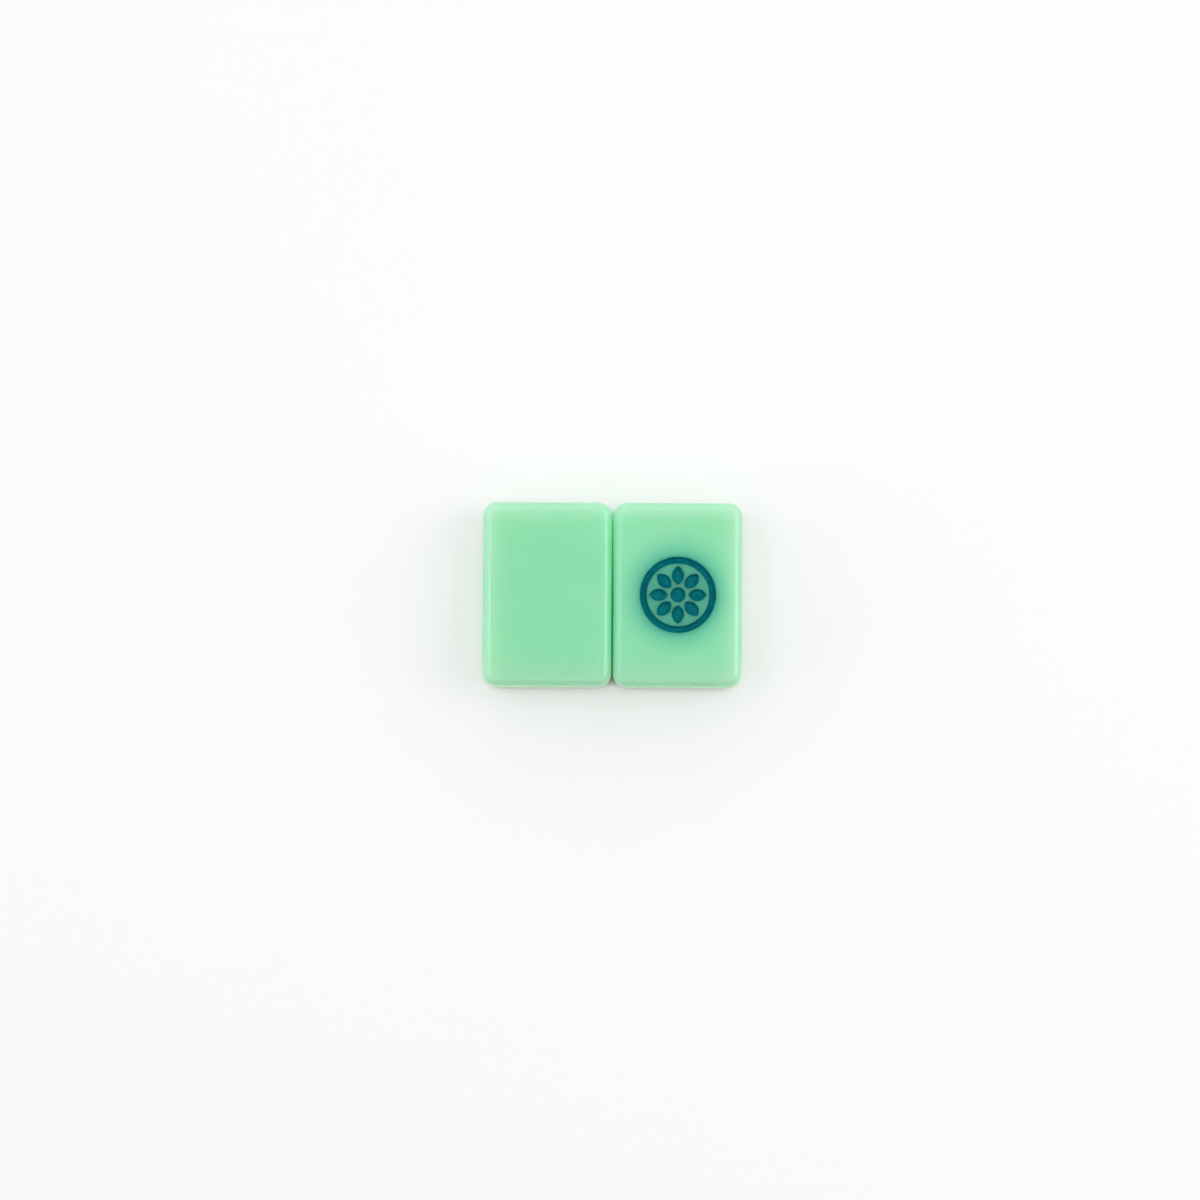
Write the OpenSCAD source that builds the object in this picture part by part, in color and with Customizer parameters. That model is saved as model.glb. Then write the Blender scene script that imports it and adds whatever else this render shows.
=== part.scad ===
// A pair of mahjong tiles lying side by side on the table, faces up.
// The left tile is plain. The right one is engraved with the one-circle figure, a ring
// round a rosette, and every cut is lined with enamel. Each tile is one solid block of
// resin with all its edges rolled over. The origin is on the table, midway between them.

/* [Tile] */
// Width of a tile, along X
tile_w = 22; // [20:0.1:27]
// Length of a tile, along Y
tile_l = 31.4; // [28:0.1:38]
// Thickness of a tile, along Z
tile_h = 13; // [10:0.1:20]
// Radius of the four upright corners
corner_r = 2.4; // [1.9:0.1:4]
// Radius rolled over the edges of the top and bottom faces
edge_r = 1.5; // [0.5:0.1:1.8]

/* [Pair] */
// Space between the two tiles
tile_gap = 0.2; // [0.1:0.05:2]

/* [Engraving] */
// Outside diameter of the ring, at the face
ring_d = 13; // [11:0.1:16]
// Width of the ring, at the face
ring_w = 1.2; // [1:0.05:1.5]
// Diameter of the round eye, at the face
eye_d = 2.6; // [1.8:0.1:3.2]
// Number of petals round the eye
petal_count = 8; // [6:1:10]
// Bare resin left between one cut and the next, at the face
land_w = 0.4; // [0.3:0.05:0.6]
// Depth of the cuts below the face
cut_depth = 0.7; // [0.4:0.05:1.2]
// How far the wall of a cut leans in on its way down to the floor
cut_lean = 0.33; // [0.1:0.01:0.38]

/* [Enamel] */
// Thickness of the enamel on the floor and walls of a cut
enamel_t = 0.12; // [0.08:0.01:0.14]

/* [Hidden] */
$fn = 96;

// The rolled edge is limited by the corner and by the height, and leaves this much of each
least_flat = 0.1;
roll_r = min(edge_r, corner_r - least_flat, (tile_h - least_flat) / 2);
inner_w = tile_w - 2 * corner_r;
inner_l = tile_l - 2 * corner_r;
tile_x = (tile_w + tile_gap) / 2;

// Radii of the figure at the face, from the ring in to the eye
ring_out_r = ring_d / 2;
ring_in_r = ring_out_r - ring_w;
petal_tip_r = ring_in_r - land_w;
eye_r = eye_d / 2;
petal_root_r = eye_r + land_w;

// A petal is a lens: half its length, its place, half its width, and the radius of its two arcs
petal_half_l = (petal_tip_r - petal_root_r) / 2;
petal_mid_r = (petal_tip_r + petal_root_r) / 2;
petal_half_w = petal_mid_r * sin(180 / petal_count) - land_w / 2;
petal_arc_r = (pow(petal_half_l, 2) + pow(petal_half_w, 2)) / (2 * petal_half_w);

// A cutter runs this far above the face
cut_over = 0.5;
// How far the enamel's own surface stands in from the wall of its cut, measured level
enamel_in = enamel_t / cos(atan2(cut_lean, cut_depth));

resin = [0.55, 0.87, 0.67];
enamel = [0.01, 0.39, 0.42];

function petal_name(i) = str("petal_enamel_", i);

// How far a cut's wall has moved out at a height above the face
function wall_run(z) = z * cut_lean / cut_depth;

module quarter_disc(r) {
  intersection() {
    circle(r);
    square(r);
  }
}

// Section of a tile's rim, from the axis of a corner out to the side of the tile
module rim_section() {
  flat_w = corner_r - roll_r;
  square([flat_w, tile_h]);
  translate([flat_w, roll_r]) square([roll_r, tile_h - 2 * roll_r]);
  translate([flat_w, tile_h - roll_r]) quarter_disc(roll_r);
  translate([flat_w, roll_r]) mirror([0, 1]) quarter_disc(roll_r);
}

// One side of a tile, out along X from the line through its corners' axes
module rim_side(length) {
  rotate([90, 0, 0]) linear_extrude(length, center = true) rim_section();
}

module rim_corner() {
  rotate_extrude(angle = 90) rim_section();
}

// A whole block, centred on the Z axis and standing on Z = 0
module tile_block() {
  translate([-inner_w / 2, -inner_l / 2, 0]) cube([inner_w, inner_l, tile_h]);
  for (turn = [0, 180]) rotate(turn) {
    translate([inner_w / 2, 0, 0]) rim_side(inner_l);
    rotate(90) translate([inner_l / 2, 0, 0]) rim_side(inner_w);
    translate([inner_w / 2, inner_l / 2, 0]) rim_corner();
    translate([-inner_w / 2, inner_l / 2, 0]) rotate(90) rim_corner();
  }
}

// The shapes below are cuts. At the face a cut is as wide as its figure, and its walls lean
// in to a flat floor. A cut is drawn in by inset, its floor is lifted, and it ends at rise
// above the face. With inset and lift it is the hollow that stays open over the enamel.

module round_cut(r, inset, lift, rise) {
  floor_z = lift - cut_depth;
  translate([0, 0, tile_h + floor_z])
    cylinder(h = rise - floor_z, r1 = r - inset + wall_run(floor_z), r2 = r - inset + wall_run(rise));
}

module eye_cut(inset, lift, rise) {
  round_cut(eye_r, inset, lift, rise);
}

module ring_cut(inset, lift, rise) {
  floor_z = lift - cut_depth;
  out_r = ring_out_r - inset;
  in_r = ring_in_r + inset;
  translate([0, 0, tile_h]) rotate_extrude() polygon([
    [in_r - wall_run(floor_z), floor_z],
    [out_r + wall_run(floor_z), floor_z],
    [out_r + wall_run(rise), rise],
    [in_r - wall_run(rise), rise],
  ]);
}

module petal_cut(i, inset, lift, rise) {
  arc_off = petal_arc_r - petal_half_w;
  // The first petal points to the head of the tile
  rotate(90 + 360 / petal_count * (i - 1)) intersection() {
    translate([petal_mid_r, arc_off, 0]) round_cut(petal_arc_r, inset, lift, rise);
    translate([petal_mid_r, -arc_off, 0]) round_cut(petal_arc_r, inset, lift, rise);
  }
}

module plain_tile() {
  color(resin) translate([-tile_x, 0, 0]) tile_block();
}

module engraved_tile() {
  color(resin) translate([tile_x, 0, 0]) difference() {
    tile_block();
    ring_cut(0, 0, cut_over);
    eye_cut(0, 0, cut_over);
    for (i = [1:petal_count]) petal_cut(i, 0, 0, cut_over);
  }
}

// Enamel lines its cut on the floor and walls, and ends level with the face
module ring_enamel() {
  color(enamel) translate([tile_x, 0, 0]) difference() {
    ring_cut(0, 0, 0);
    ring_cut(enamel_in, enamel_t, cut_over);
  }
}

module eye_enamel() {
  color(enamel) translate([tile_x, 0, 0]) difference() {
    eye_cut(0, 0, 0);
    eye_cut(enamel_in, enamel_t, cut_over);
  }
}

module petal_enamel(i) {
  color(enamel) translate([tile_x, 0, 0]) difference() {
    petal_cut(i, 0, 0, 0);
    petal_cut(i, enamel_in, enamel_t, cut_over);
  }
}

plain_tile();
engraved_tile();
ring_enamel();
eye_enamel();
for (i = [1:petal_count])
  petal_enamel(i);
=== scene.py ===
import math
import bmesh
import bpy
from mathutils import Matrix, Vector


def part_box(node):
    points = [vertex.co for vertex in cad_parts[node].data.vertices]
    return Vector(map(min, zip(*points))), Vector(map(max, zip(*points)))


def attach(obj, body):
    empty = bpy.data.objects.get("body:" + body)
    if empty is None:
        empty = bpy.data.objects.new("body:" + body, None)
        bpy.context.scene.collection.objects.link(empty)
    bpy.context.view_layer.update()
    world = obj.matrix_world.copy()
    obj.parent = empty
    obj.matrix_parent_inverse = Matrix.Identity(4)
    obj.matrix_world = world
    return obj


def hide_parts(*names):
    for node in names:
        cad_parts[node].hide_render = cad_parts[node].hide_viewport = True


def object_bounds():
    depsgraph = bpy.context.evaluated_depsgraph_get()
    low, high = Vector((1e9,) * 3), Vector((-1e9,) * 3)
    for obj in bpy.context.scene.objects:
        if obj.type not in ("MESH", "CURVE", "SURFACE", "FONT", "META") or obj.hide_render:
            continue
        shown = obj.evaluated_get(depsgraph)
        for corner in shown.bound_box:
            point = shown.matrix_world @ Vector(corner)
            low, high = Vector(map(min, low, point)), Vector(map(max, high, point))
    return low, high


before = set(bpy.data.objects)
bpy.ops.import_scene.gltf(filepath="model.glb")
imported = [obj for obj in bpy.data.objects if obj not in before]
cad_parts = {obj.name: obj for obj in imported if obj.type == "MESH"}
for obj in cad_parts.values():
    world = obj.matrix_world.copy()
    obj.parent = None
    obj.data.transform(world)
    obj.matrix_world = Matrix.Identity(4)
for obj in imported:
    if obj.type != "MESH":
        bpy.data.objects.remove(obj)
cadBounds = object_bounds()
mm = 0.001
near = 0.002 * mm                 # two heights closer than this count as one

print("frame loaded:", len(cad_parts), "nodes")


# selection and edit mode

def clearSelection():
    if bpy.context.object and bpy.context.object.mode != "OBJECT":
        bpy.ops.object.mode_set(mode="OBJECT")
    bpy.ops.object.select_all(action="DESELECT")


def makeActive(piece):
    clearSelection()
    piece.select_set(True)
    bpy.context.view_layer.objects.active = piece


def pickEdges(piece, wanted, leastBend=-1):       # edit mode with only the wanted edges selected
    makeActive(piece)
    bpy.ops.object.mode_set(mode="EDIT")
    bpy.ops.mesh.select_mode(type="EDGE")
    bpy.ops.mesh.select_all(action="DESELECT")
    mesh = bmesh.from_edit_mesh(piece.data)
    for edge in mesh.edges:
        if wanted(edge.verts[0].co, edge.verts[1].co) and edge.calc_face_angle(0) > leastBend:
            edge.select_set(True)
    mesh.select_flush_mode()
    bmesh.update_edit_mesh(piece.data)


def leaveEdit():
    bpy.ops.object.mode_set(mode="OBJECT")


def bothAt(height, reach=near):                   # a test for edges that lie level at one height
    return lambda a, b: abs(a.z - height) < reach and abs(b.z - height) < reach


def cutAway(piece, cutter):
    makeActive(piece)
    cut = piece.modifiers.new("cut", "BOOLEAN")
    cut.operation = "DIFFERENCE"
    cut.solver = "EXACT"
    cut.object = cutter
    bpy.ops.object.modifier_apply(modifier=cut.name)
    bpy.data.objects.remove(cutter)


def copyPiece(piece, name):
    makeActive(piece)
    bpy.ops.object.duplicate(linked=False)
    copied = bpy.context.object
    copied.name = name
    return copied


def turnAbout(piece, angle, place):
    makeActive(piece)
    turn = Matrix.Rotation(angle, 4, "Z")
    piece.matrix_world = Matrix.Translation(place) @ turn @ Matrix.Translation(-place)
    bpy.ops.object.transform_apply(location=True, rotation=True, scale=True)


def mergeClose(piece, distance):
    makeActive(piece)
    bpy.ops.object.mode_set(mode="EDIT")
    bpy.ops.mesh.select_all(action="SELECT")
    bpy.ops.mesh.remove_doubles(threshold=distance)
    bpy.ops.mesh.normals_make_consistent(inside=False)
    leaveEdit()


def finishPiece(piece, creaseAngle):
    mergeClose(piece, near / 4)
    bpy.ops.object.shade_smooth_by_angle(angle=math.radians(creaseAngle))
    level = piece.modifiers.new("level", "WEIGHTED_NORMAL")
    level.keep_sharp = True
    bpy.ops.object.modifier_apply(modifier=level.name)


# tile blocks

tile = {
    "cornerRadius": 2.4 * mm,
    "edgeRadius": 1.5 * mm,
    "cornerSteps": 20,
    "edgeSteps": 14,
    "creaseAngle": 30,
}


def addBlock(name, node):
    low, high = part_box(node)
    clearSelection()
    bpy.ops.mesh.primitive_cube_add(size=1, location=(low + high) / 2, scale=high - low)
    block = bpy.context.object
    block.name = name
    bpy.ops.object.transform_apply(location=True, rotation=True, scale=True)
    pickEdges(block, lambda a, b: abs(a.z - b.z) > near)          # the four upright edges
    bpy.ops.mesh.bevel(offset=tile["cornerRadius"], segments=tile["cornerSteps"], affect="EDGES")
    isTop, isBase = bothAt(high.z), bothAt(low.z)
    pickEdges(block, lambda a, b: isTop(a, b) or isBase(a, b))    # rims of face and base
    bpy.ops.mesh.bevel(offset=tile["edgeRadius"], segments=tile["edgeSteps"], affect="EDGES")
    leaveEdit()
    return block


plainBlock = addBlock("plainBlock", "plain_tile")
engravedBlock = addBlock("engravedBlock", "engraved_tile")
print("blocks bevelled")


# engraved figure

figure = {
    "ringWidth": 1.2 * mm,
    "wallLean": 0.33 * mm,        # how far a wall leans in on its way down
    "enamelThickness": 0.12 * mm,
    "levelReach": 0.09 * mm,      # less than the enamel is thick
    "poolWidth": 0.13 * mm,       # the enamel pools round where wall meets floor
    "poolSteps": 6,
    "lipWidth": 0.035 * mm,       # rounding of the enamel's top rim
    "lipSteps": 3,
    "leastBend": 15,              # edges that bend less, in degrees, only split a flat face
    "cutterRise": 0.5 * mm,       # how far a cutter stands above the face
    "ringSides": 160,
    "eyeSides": 96,
    "petalSteps": 18,
    "creaseAngle": 35,
}

petalNodes = sorted(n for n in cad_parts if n.startswith("petal_enamel_"))
petalAngle = 2 * math.pi / len(petalNodes)
eyeLow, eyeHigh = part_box("eye_enamel")
ringLow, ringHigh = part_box("ring_enamel")
petalLow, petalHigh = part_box("petal_enamel_1")    # the petal that points to the head

faceZ = eyeHigh.z
cutDepth = eyeHigh.z - eyeLow.z
figureAxis = (eyeLow + eyeHigh) / 2
figureAxis.z = 0
eyeRadius = (eyeHigh.x - eyeLow.x) / 2
ringRadius = (ringHigh.x - ringLow.x) / 2
petalHalfWidth = (petalHigh.x - petalLow.x) / 2
petalHalfLength = (petalHigh.y - petalLow.y) / 2
petalMiddle = (petalLow.y + petalHigh.y) / 2
petalArc = (petalHalfLength ** 2 + petalHalfWidth ** 2) / (2 * petalHalfWidth)


def wallRun(height):              # how far a wall has moved out at a height above the face
    return height * figure["wallLean"] / cutDepth


def addEye(rise):
    clearSelection()
    bpy.ops.mesh.primitive_cone_add(
        vertices=figure["eyeSides"],
        radius1=eyeRadius + wallRun(-cutDepth),
        radius2=eyeRadius + wallRun(rise),
        depth=cutDepth + rise,
        location=(figureAxis.x, figureAxis.y, faceZ + (rise - cutDepth) / 2),
    )
    bpy.ops.object.transform_apply(location=True, rotation=True, scale=True)
    return bpy.context.object


def addPetal(rise):               # a lens: two arcs from tip to tip on the floor, drawn up to the face
    arcOff = petalArc - petalHalfWidth
    floorArc = petalArc + wallRun(-cutDepth)
    floorHalfWidth = floorArc - arcOff
    floorHalfLength = math.sqrt(floorArc ** 2 - arcOff ** 2)
    middle = Vector((figureAxis.x, petalMiddle, faceZ - cutDepth))
    clearSelection()
    bpy.ops.mesh.primitive_plane_add(size=near, location=middle - Vector((0, floorHalfLength, 0)))
    petal = bpy.context.object
    bpy.ops.object.transform_apply(location=True, rotation=True, scale=True)
    bpy.ops.object.mode_set(mode="EDIT")
    bpy.ops.mesh.select_mode(type="VERT")
    bpy.ops.mesh.select_all(action="SELECT")
    bpy.ops.mesh.merge(type="CENTER")
    for side in (1, -1):          # a spin runs clockwise
        bpy.ops.mesh.spin(
            steps=figure["petalSteps"],
            angle=2 * math.asin(floorHalfLength / floorArc),
            center=middle + Vector((side * arcOff, 0, 0)),
            axis=(0, 0, 1),
        )
    bpy.ops.mesh.select_all(action="SELECT")
    bpy.ops.mesh.remove_doubles(threshold=near)
    bpy.ops.mesh.edge_face_add()
    bpy.ops.mesh.extrude_region_move(TRANSFORM_OT_translate={"value": (0, 0, cutDepth)})
    growth = (petalHalfWidth / floorHalfWidth, petalHalfLength / floorHalfLength, 1)
    bpy.ops.transform.resize(value=growth, center_override=middle)
    if rise > 0:
        bpy.ops.mesh.extrude_region_move(TRANSFORM_OT_translate={"value": (0, 0, rise)})
    mergeClose(petal, near)
    return petal


def addRing(rise):
    middleRadius = ringRadius - figure["ringWidth"] / 2
    floorWidth = figure["ringWidth"] + 2 * wallRun(-cutDepth)
    mouthWidth = figure["ringWidth"] + 2 * wallRun(rise)
    middle = Vector((figureAxis.x + middleRadius, figureAxis.y, faceZ + (rise - cutDepth) / 2))
    clearSelection()
    bpy.ops.mesh.primitive_plane_add(size=1, location=middle, rotation=(math.pi / 2, 0, 0))
    ring = bpy.context.object
    ring.scale = (floorWidth, cutDepth + rise, 1)
    bpy.ops.object.transform_apply(location=True, rotation=True, scale=True)
    pickEdges(ring, bothAt(faceZ + rise))
    bpy.ops.transform.resize(value=(mouthWidth / floorWidth, 1, 1), center_override=middle)
    bpy.ops.mesh.select_all(action="SELECT")
    bpy.ops.mesh.delete(type="ONLY_FACE")
    bpy.ops.mesh.select_all(action="SELECT")
    bpy.ops.mesh.spin(steps=figure["ringSides"], angle=2 * math.pi, center=figureAxis, axis=(0, 0, 1))
    mergeClose(ring, near)
    return ring


def addLining(name, addCut):      # the enamel is a shell on the floor and walls of its cut
    lining = addCut(0)
    lining.name = name
    pickEdges(lining, bothAt(faceZ))
    bpy.ops.mesh.delete(type="ONLY_FACE")
    bpy.ops.mesh.select_all(action="SELECT")
    bpy.ops.mesh.delete_loose()
    leaveEdit()
    shell = lining.modifiers.new("shell", "SOLIDIFY")
    shell.thickness = figure["enamelThickness"]
    shell.offset = -1
    shell.use_even_offset = True
    bpy.ops.object.modifier_apply(modifier=shell.name)
    floorZ = faceZ - cutDepth + figure["enamelThickness"]
    for height in (floorZ, faceZ):                # level the shell's inner floor and its rim
        pickEdges(lining, bothAt(height, figure["levelReach"]))
        bpy.ops.transform.resize(value=(1, 1, 0), center_override=(0, 0, height))
    bend = math.radians(figure["leastBend"])
    pickEdges(lining, bothAt(floorZ), bend)
    bpy.ops.mesh.bevel(offset=figure["poolWidth"], segments=figure["poolSteps"], loop_slide=False)
    pickEdges(lining, bothAt(faceZ), bend)
    bpy.ops.mesh.bevel(offset=figure["lipWidth"], segments=figure["lipSteps"], loop_slide=False)
    leaveEdit()
    finishPiece(lining, figure["creaseAngle"])
    return lining


ringLining = addLining("ringLining", addRing)
eyeLining = addLining("eyeLining", addEye)
petalLinings = [addLining("petalLining1", addPetal)]
for i in range(1, len(petalNodes)):
    petalLinings.append(copyPiece(petalLinings[0], "petalLining" + str(i + 1)))
    turnAbout(petalLinings[i], petalAngle * i, figureAxis)
print("enamel linings made:", 2 + len(petalLinings))

cutAway(engravedBlock, addRing(figure["cutterRise"]))
cutAway(engravedBlock, addEye(figure["cutterRise"]))
petalCutter = addPetal(figure["cutterRise"])
for i in range(len(petalNodes)):
    cutter = copyPiece(petalCutter, "cutter")
    turnAbout(cutter, petalAngle * i, figureAxis)
    cutAway(engravedBlock, cutter)
bpy.data.objects.remove(petalCutter)
for block in (plainBlock, engravedBlock):
    finishPiece(block, tile["creaseAngle"])
print("figure engraved")


# shader expressions

class Wire:
    def __init__(self, tree, socket=None):
        self.tree = tree
        self.socket = socket

    def add(self, nodeType, settings=None, values=None, out=0):
        node = self.tree.nodes.new(nodeType)
        for name, value in (settings or {}).items():
            setattr(node, name, value)
        for name, value in (values or {}).items():
            if isinstance(value, Wire):
                self.tree.links.new(value.socket, node.inputs[name])
            else:
                node.inputs[name].default_value = value
        return Wire(self.tree, node.outputs[out] if node.outputs else None)

    def maths(self, operation, first, second):
        return self.add("ShaderNodeMath", {"operation": operation}, {0: first, 1: second})

    def __add__(self, other):
        return self.maths("ADD", self, other)

    def __radd__(self, other):
        return self.maths("ADD", other, self)

    def __sub__(self, other):
        return self.maths("SUBTRACT", self, other)

    def __rsub__(self, other):
        return self.maths("SUBTRACT", other, self)

    def __mul__(self, other):
        return self.maths("MULTIPLY", self, other)

    def __rmul__(self, other):
        return self.maths("MULTIPLY", other, self)

    def __abs__(self):
        return self.maths("ABSOLUTE", self, 0)


def startMaterial(name):
    material = bpy.data.materials.new(name)
    material.use_nodes = True
    material.node_tree.nodes.clear()
    return material, Wire(material.node_tree)


def objectPlace(wire):
    return wire.add("ShaderNodeTexCoord", out="Object")


def noise(place, scale, detail=2.0, distortion=0.0):
    values = {"Vector": place, "Scale": scale, "Detail": detail, "Distortion": distortion}
    return place.add("ShaderNodeTexNoise", None, values)


def stretched(place, scale, turn):
    values = {"Vector": place, "Scale": scale, "Rotation": (0, 0, math.radians(turn))}
    return place.add("ShaderNodeMapping", None, values)


def ease(value, low, high, curve="SMOOTHSTEP"):   # 0 below low, 1 above high
    return value.add("ShaderNodeMapRange", {"interpolation_type": curve},
                     {"Value": value, "From Min": low, "From Max": high})


def mixColour(factor, first, second):
    return factor.add("ShaderNodeMix", {"data_type": "RGBA"}, {0: factor, 6: first, 7: second}, out=2)


def bump(height, distance, strength):
    values = {"Height": height, "Distance": distance, "Strength": strength}
    return height.add("ShaderNodeBump", None, values)


def closeMaterial(wire, values):
    shader = wire.add("ShaderNodeBsdfPrincipled", None, values)
    wire.add("ShaderNodeOutputMaterial", None, {"Surface": shader})


# mint resin

resin = {
    "mint": (0.264, 0.683, 0.413, 1),
    "deep": (0.253, 0.673, 0.4, 1),
    "paintedRimGlow": (0.315, 0.655, 0.43, 1),     # painted light: the rim paler, where light comes through the thin resin
    "shaded": (0.085, 0.54, 0.35, 1),     # beside the enamel, which takes light out of the resin
    "paintedFootShade": (0.285, 0.64, 0.4, 1),        # painted shade: the face duller and warmer at its foot, where less light falls
    "side": (0.3, 0.55, 0.38, 1),         # painted light and shade: the sides' own colour, for light that comes through the block
    "front": (0.35, 0.8, 0.45, 1),        # painted light: the sides paler at the foot end
    "paintedGapShade": (0.2, 0.55, 0.38, 1),        # painted shade: darker and greener between the tiles
    "paintedSideGlow": (0, 0.16, 0.04, 1),       # painted light: the sides glow, for light that the block passes on
    "paintedHeadGlow": (0.07, 0.31, 0.12, 1),    # painted light, stronger between the tiles, near their heads
    "noGlow": (0, 0, 0, 1),
    "headReach": 11 * mm,                 # how far from the middle of the tile that is in full
    "headEnd": 2.5 * mm,                  # where it fades again, before the head
    "footFull": 1 * mm,                   # distance from the foot where its colours are in full
    "footReach": 6 * mm,                  # and where they end
    "gapReach": 1.8 * mm,
    "rimReach": 4.5 * mm,
    "rimDrop": 1.8 * mm,                  # how far the painted rim glow runs down the side
    "shadeReach": 5.0 * mm,
    "sideStart": 0.3 * mm,                # how far below the face the sides' colour starts
    "sideFull": 1.8 * mm,
    "frontStart": 0.1 * mm,
    "frontFull": 1.1 * mm,
    "scatter": (18.0, 8.0, 10.0),         # how far each colour spreads, in mm
    "ior": 1.5,
    "cloudScale": 130,
    "cloudDetail": 3,
    "cloudCurl": 0.6,
    "cloudSpan": (0.35, 0.7),             # each span is the part of a noise that shows
    "grainScale": 1700,
    "grainShare": 0.15,
    "gloss": 0.07,
    "smudge": 0.05,                       # what smudges, hairlines and wear add to the roughness
    "hairline": 0.12,
    "edgeWear": 0.06,
    "smudgeScale": 260,
    "smudgeCurl": 1.2,
    "smudgeSpan": (0.45, 0.75),
    "wearScale": 900,
    "wearSpan": (0.42, 0.62),
    "polishAlong": {"scale": (60, 5200, 60), "turn": 24, "span": (0.68, 0.74)},
    "polishAcross": {"scale": (4700, 70, 70), "turn": -17, "span": (0.69, 0.75)},
    "swellScale": 220,
    "grainHeight": 0.03,                  # beside a swell of 1
    "hairlineDepth": 0.02,
    "skinDepth": 0.02 * mm,
    "skinStrength": 0.25,
}


def falloff(distance, reach):     # 1 at no distance, 0 at the reach, curved like light in resin
    rest = distance.add("ShaderNodeMapRange", None,
                        {"Value": distance, "From Min": 0, "From Max": reach, "To Min": 1, "To Max": 0})
    return rest * rest


def hairlines(place, polish):
    return ease(noise(stretched(place, polish["scale"], polish["turn"]), 1, 1), *polish["span"])


def makeResin():
    material, wire = startMaterial("mintResin")
    place = objectPlace(wire)
    low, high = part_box("engraved_tile")
    middle = (low + high) / 2
    half = (high - low) / 2
    split = wire.add("ShaderNodeSeparateXYZ", None, {"Vector": place})
    x, y, z = (Wire(wire.tree, s) for s in split.socket.node.outputs)

    drop = half.z - abs(z - middle.z)             # how far below the face, or above the base
    sideX = falloff(high.x - abs(x), resin["rimReach"])
    sideY = falloff(half.y - abs(y - middle.y), resin["rimReach"])
    rim = ease((sideX + sideY) * falloff(drop, resin["rimDrop"]), 0, 1, "LINEAR")
    side = ease(drop, resin["sideStart"], resin["sideFull"])
    inGap = falloff(abs(x), resin["gapReach"])
    toHead = ease(y, 0, resin["headReach"], "LINEAR") * ease(high.y - y, 0, resin["headEnd"])
    toFoot = ease(low.y - y, -resin["footReach"], -resin["footFull"], "LINEAR")
    front = toFoot * ease(drop, resin["frontStart"], resin["frontFull"])
    away = place.add("ShaderNodeVectorMath", {"operation": "DISTANCE"},
                     {0: place, 1: figureAxis + Vector((0, 0, faceZ))}, out="Value")
    shade = falloff(away - ringRadius, resin["shadeReach"])

    clouds = noise(place, resin["cloudScale"], resin["cloudDetail"], resin["cloudCurl"])
    grain = noise(place, resin["grainScale"], 2)
    mottle = clouds * (1 - resin["grainShare"]) + grain * resin["grainShare"]
    colour = mixColour(ease(mottle, *resin["cloudSpan"]), resin["deep"], resin["mint"])
    colour = mixColour(shade, colour, resin["shaded"])
    # painted light: the rim paler, as if lit through the thin resin
    colour = mixColour(rim, colour, resin["paintedRimGlow"])
    # painted shade: duller and warmer towards the foot
    colour = mixColour(toFoot, colour, resin["paintedFootShade"])
    # painted light and shade: the sides get their own colour, darker still between the tiles
    colour = mixColour(side, colour, mixColour(inGap, resin["side"], resin["paintedGapShade"]))
    # painted light: the front side paler
    colour = mixColour(front, colour, resin["front"])
    # painted light: an emission that makes the sides and the gap glow green
    glow = mixColour(inGap * toHead, resin["paintedSideGlow"], resin["paintedHeadGlow"])
    glow = mixColour(side * (1 - toFoot), resin["noGlow"], glow)

    lines = hairlines(place, resin["polishAlong"]) + hairlines(place, resin["polishAcross"])
    smudges = ease(noise(place, resin["smudgeScale"], 4, resin["smudgeCurl"]), *resin["smudgeSpan"])
    wear = rim * ease(noise(place, resin["wearScale"], 4), *resin["wearSpan"])
    rough = resin["gloss"] + smudges * resin["smudge"] + lines * resin["hairline"]
    rough = rough + wear * resin["edgeWear"]
    swell = noise(place, resin["swellScale"], 1)
    height = swell + grain * resin["grainHeight"] - lines * resin["hairlineDepth"]
    closeMaterial(wire, {
        "Base Color": colour,
        "Roughness": rough,
        "Normal": bump(height, resin["skinDepth"], resin["skinStrength"]),
        "IOR": resin["ior"],
        "Subsurface Weight": 1.0,
        "Subsurface Radius": resin["scatter"],
        "Subsurface Scale": mm,
        "Emission Color": glow,
        "Emission Strength": 1.0,
    })
    return material


# teal enamel

enamel = {
    "teal": (0.0, 0.17, 0.185, 1),
    "deep": (0.0, 0.122, 0.142, 1),
    "thin": (0.0, 0.23, 0.24, 1),         # flecks and brush marks
    "gloss": 0.25,
    "specular": 0.04,
    "ior": 1.5,
    "poolScale": 900,
    "poolCurl": 0.5,
    "poolSpan": (0.35, 0.7),
    "poolRough": 0.12,
    "fleckScale": 5200,
    "fleckSpan": (0.7, 0.78),
    "fleckShare": 0.6,
    "fleckRough": 0.2,
    "brushScale": (700, 6000, 700),
    "brushTurn": 35,
    "brushSpan": (0.55, 0.8),
    "brushShare": 0.15,
    "heights": (0.6, 0.15, 0.25),         # of pools, brush marks and flecks in the skin
    "skinDepth": 0.02 * mm,
    "skinStrength": 0.5,
}


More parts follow.
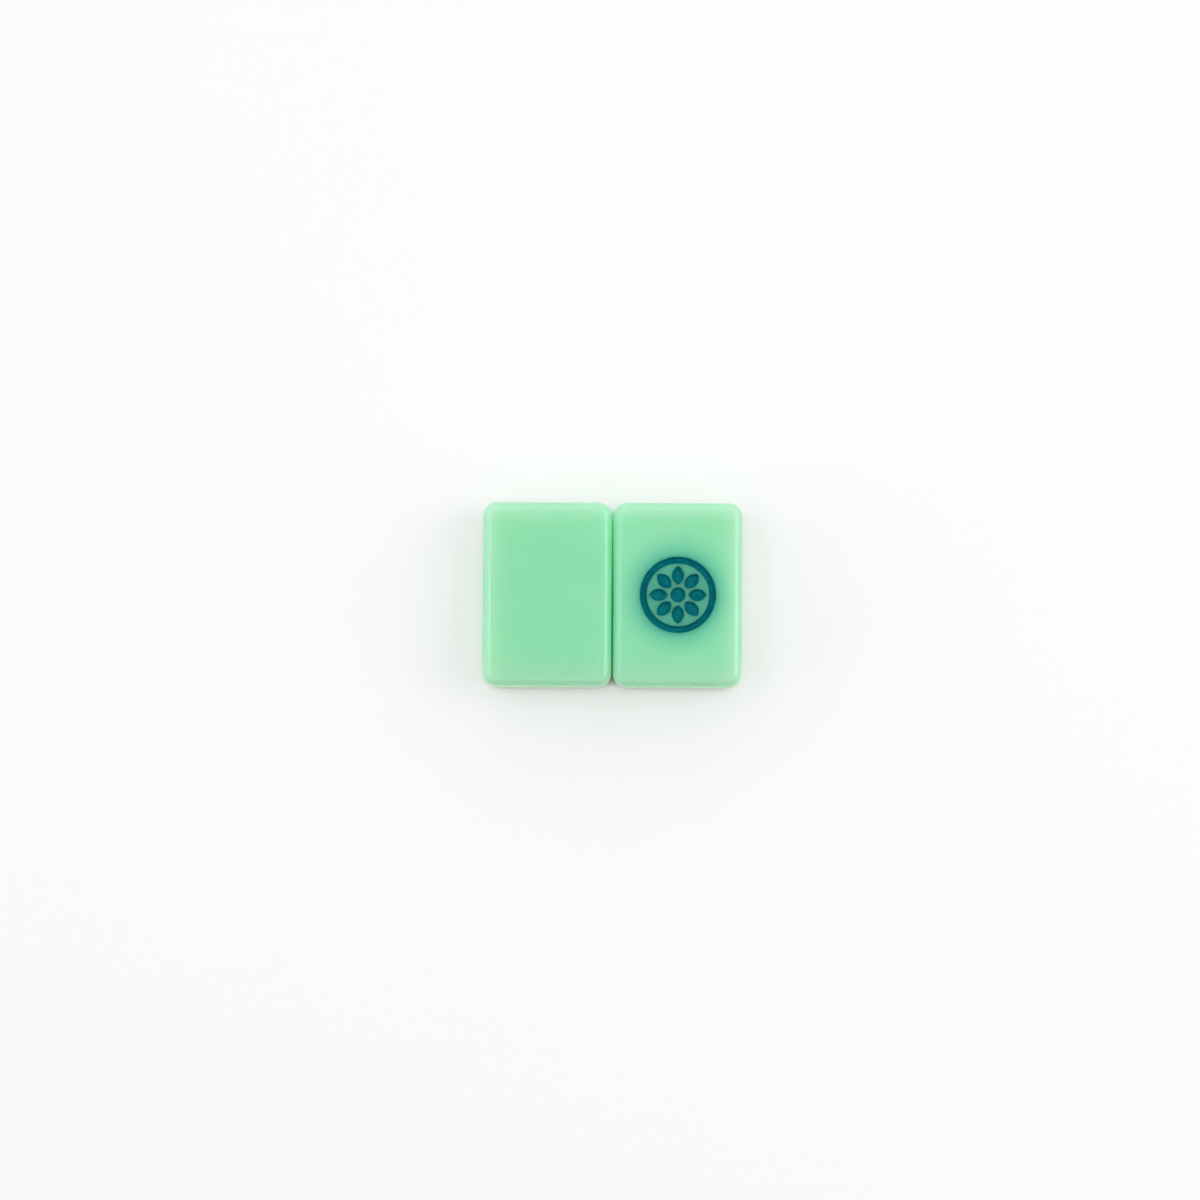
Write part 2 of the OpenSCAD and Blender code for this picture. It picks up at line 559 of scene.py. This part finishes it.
def makeEnamel():
    material, wire = startMaterial("tealEnamel")
    place = objectPlace(wire)
    pools = noise(place, enamel["poolScale"], 3, enamel["poolCurl"])
    flecks = ease(noise(place, enamel["fleckScale"], 1), *enamel["fleckSpan"])
    brush = noise(stretched(place, enamel["brushScale"], enamel["brushTurn"]), 1, 2)
    thin = flecks * enamel["fleckShare"] + ease(brush, *enamel["brushSpan"]) * enamel["brushShare"]
    colour = mixColour(ease(pools, *enamel["poolSpan"]), enamel["deep"], enamel["teal"])
    colour = mixColour(thin, colour, enamel["thin"])
    poolHeight, brushHeight, fleckHeight = enamel["heights"]
    height = pools * poolHeight + brush * brushHeight + flecks * fleckHeight
    closeMaterial(wire, {
        "Base Color": colour,
        "Roughness": enamel["gloss"] + pools * enamel["poolRough"] + flecks * enamel["fleckRough"],
        "Normal": bump(height, enamel["skinDepth"], enamel["skinStrength"]),
        "IOR": enamel["ior"],
        "Specular IOR Level": enamel["specular"],
    })
    return material


def dress(piece, material, body, node):
    piece.data.materials.clear()
    piece.data.materials.append(material)
    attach(piece, body)
    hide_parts(node)


mintResin = makeResin()
tealEnamel = makeEnamel()
dress(plainBlock, mintResin, "plain_tile", "plain_tile")
dress(engravedBlock, mintResin, "engraved_tile", "engraved_tile")
dress(ringLining, tealEnamel, "engraved_tile", "ring_enamel")
dress(eyeLining, tealEnamel, "engraved_tile", "eye_enamel")
for lining, node in zip(petalLinings, petalNodes):
    dress(lining, tealEnamel, "engraved_tile", node)
print("materials set")


# floor, light and camera

studio = {
    "floorSize": 6.0,
    "floorWhite": (0.87, 0.87, 0.865, 1),
    "paintedFrontShade": (0.87, 0.84, 0.74, 1),  # painted shade: warmer paper close in front of the tiles
    "paintedSlotShade": (0.28, 0.33, 0.14, 1),   # painted shade: dark paper at the foot of the gap, where little light gets in
    "slotOpen": 0.56,                     # share of the sky that is open where that colour ends
    "glowWhite": (0.955, 0.955, 0.95, 1),
    "paperGlow": 0.42,                    # share of the floor that shows white, shadow or not
    "glowStart": 0.4,                     # share of the sky that is open where the glow starts
    "glowFull": 0.75,
    "contactReach": 2 * mm,               # how near a tile dims the paper
    "contactSamples": 8,
    "skyLevel": 0.08,
    "lamps": {
        # name: azimuth and elevation in degrees, distance, height and width, radiance
        "ceiling": (0, 90, 1.0, 2.0, 2.0, 0.825),
        "backWall": (90, 25, 1.2, 0.8, 2.0, 1.06),
        "rightWall": (5, 25, 1.2, 0.8, 1.6, 1.25),
        "leftWall": (175, 25, 1.2, 0.8, 1.6, 1.58),
        "rightStrip": (6, 54, 0.7, 0.4, 0.28, 2.9),
        "leftStrip": (170, 67, 0.7, 0.1, 0.26, 5.5),
    },
}


def makeFloor():
    clearSelection()
    bpy.ops.mesh.primitive_plane_add(size=studio["floorSize"], location=(0, 0, 0))
    floor = bpy.context.object
    floor.name = "floor"
    material, wire = startMaterial("floorPaper")
    glow = wire.add("ShaderNodeEmission", None, {"Color": studio["glowWhite"]})
    path = wire.add("ShaderNodeLightPath")
    isCamera, isGlossy, isTransmission = (
        Wire(wire.tree, path.socket.node.outputs[name])
        for name in ("Is Camera Ray", "Is Glossy Ray", "Is Transmission Ray"))
    around = wire.add("ShaderNodeAmbientOcclusion", {"samples": studio["contactSamples"]},
                      {"Distance": studio["contactReach"]}, out="AO")
    clear = ease(around, studio["glowStart"], studio["glowFull"], "LINEAR")
    split = wire.add("ShaderNodeSeparateXYZ", None, {"Vector": objectPlace(wire)})
    y = Wire(wire.tree, split.socket.node.outputs["Y"])
    front = ease(0 - y, 0, cadBounds[1][1])
    # painted shade: the paper warmer in front, where the tiles close it in
    paperColour = mixColour((1 - around) * front, studio["floorWhite"], studio["paintedFrontShade"])
    # painted shade: the paper dark at the foot of the gap
    shut = (1 - ease(around, 0, studio["slotOpen"])) * front
    paperColour = mixColour(shut, paperColour, studio["paintedSlotShade"])
    paper = wire.add("ShaderNodeBsdfDiffuse", None, {"Color": paperColour})
    share = (isCamera + isGlossy + isTransmission) * clear * studio["paperGlow"]
    mixed = wire.add("ShaderNodeMixShader", None, {0: share, 1: paper, 2: glow})
    wire.add("ShaderNodeOutputMaterial", None, {"Surface": mixed})
    floor.data.materials.append(material)


def makeLamp(name, azimuth, elevation, distance, height, width, radiance):
    lamp = bpy.data.lights.new(name, "AREA")
    lamp.shape = "RECTANGLE"
    lamp.size = height
    lamp.size_y = width
    lamp.energy = radiance * math.pi * height * width
    holder = bpy.data.objects.new(name, lamp)
    bpy.context.scene.collection.objects.link(holder)
    turn = Matrix.Rotation(math.radians(azimuth), 4, "Z")
    lean = Matrix.Rotation(math.radians(90 - elevation), 4, "Y")
    holder.matrix_world = turn @ lean @ Matrix.Translation((0, 0, distance))


def makeSky():
    world = bpy.data.worlds.new("sky")
    bpy.context.scene.world = world
    world.use_nodes = True
    background = world.node_tree.nodes["Background"]
    background.inputs["Color"].default_value = (1, 1, 1, 1)
    background.inputs["Strength"].default_value = studio["skyLevel"]


makeFloor()
makeSky()
for name, values in studio["lamps"].items():
    makeLamp(name, *values)

view = {
    "distance": 600 * mm,
    "frameWidth": 203.5 * mm,     # width of the picture at that distance
    "tilt": 2.4,                  # degrees off straight down
    "roll": 0.339,
    "aim": Vector((-2.115, -0.955, 13)) * mm,
    "sensor": 36,
    "clipStart": 10 * mm,
}


def makeCamera():
    camera = bpy.data.cameras.new("camera")
    camera.sensor_width = view["sensor"]
    camera.lens = view["sensor"] * view["distance"] / view["frameWidth"]
    camera.clip_start = view["clipStart"]
    holder = bpy.data.objects.new("camera", camera)
    bpy.context.scene.collection.objects.link(holder)
    tilt = Matrix.Rotation(math.radians(view["tilt"]), 4, "X")
    roll = Matrix.Rotation(math.radians(view["roll"]), 4, "Z")
    back = Matrix.Translation((0, 0, view["distance"]))
    holder.matrix_world = Matrix.Translation(view["aim"]) @ tilt @ roll @ back
    bpy.context.scene.camera = holder


makeCamera()
bpy.context.scene.view_settings.view_transform = "Standard"
print("studio set")
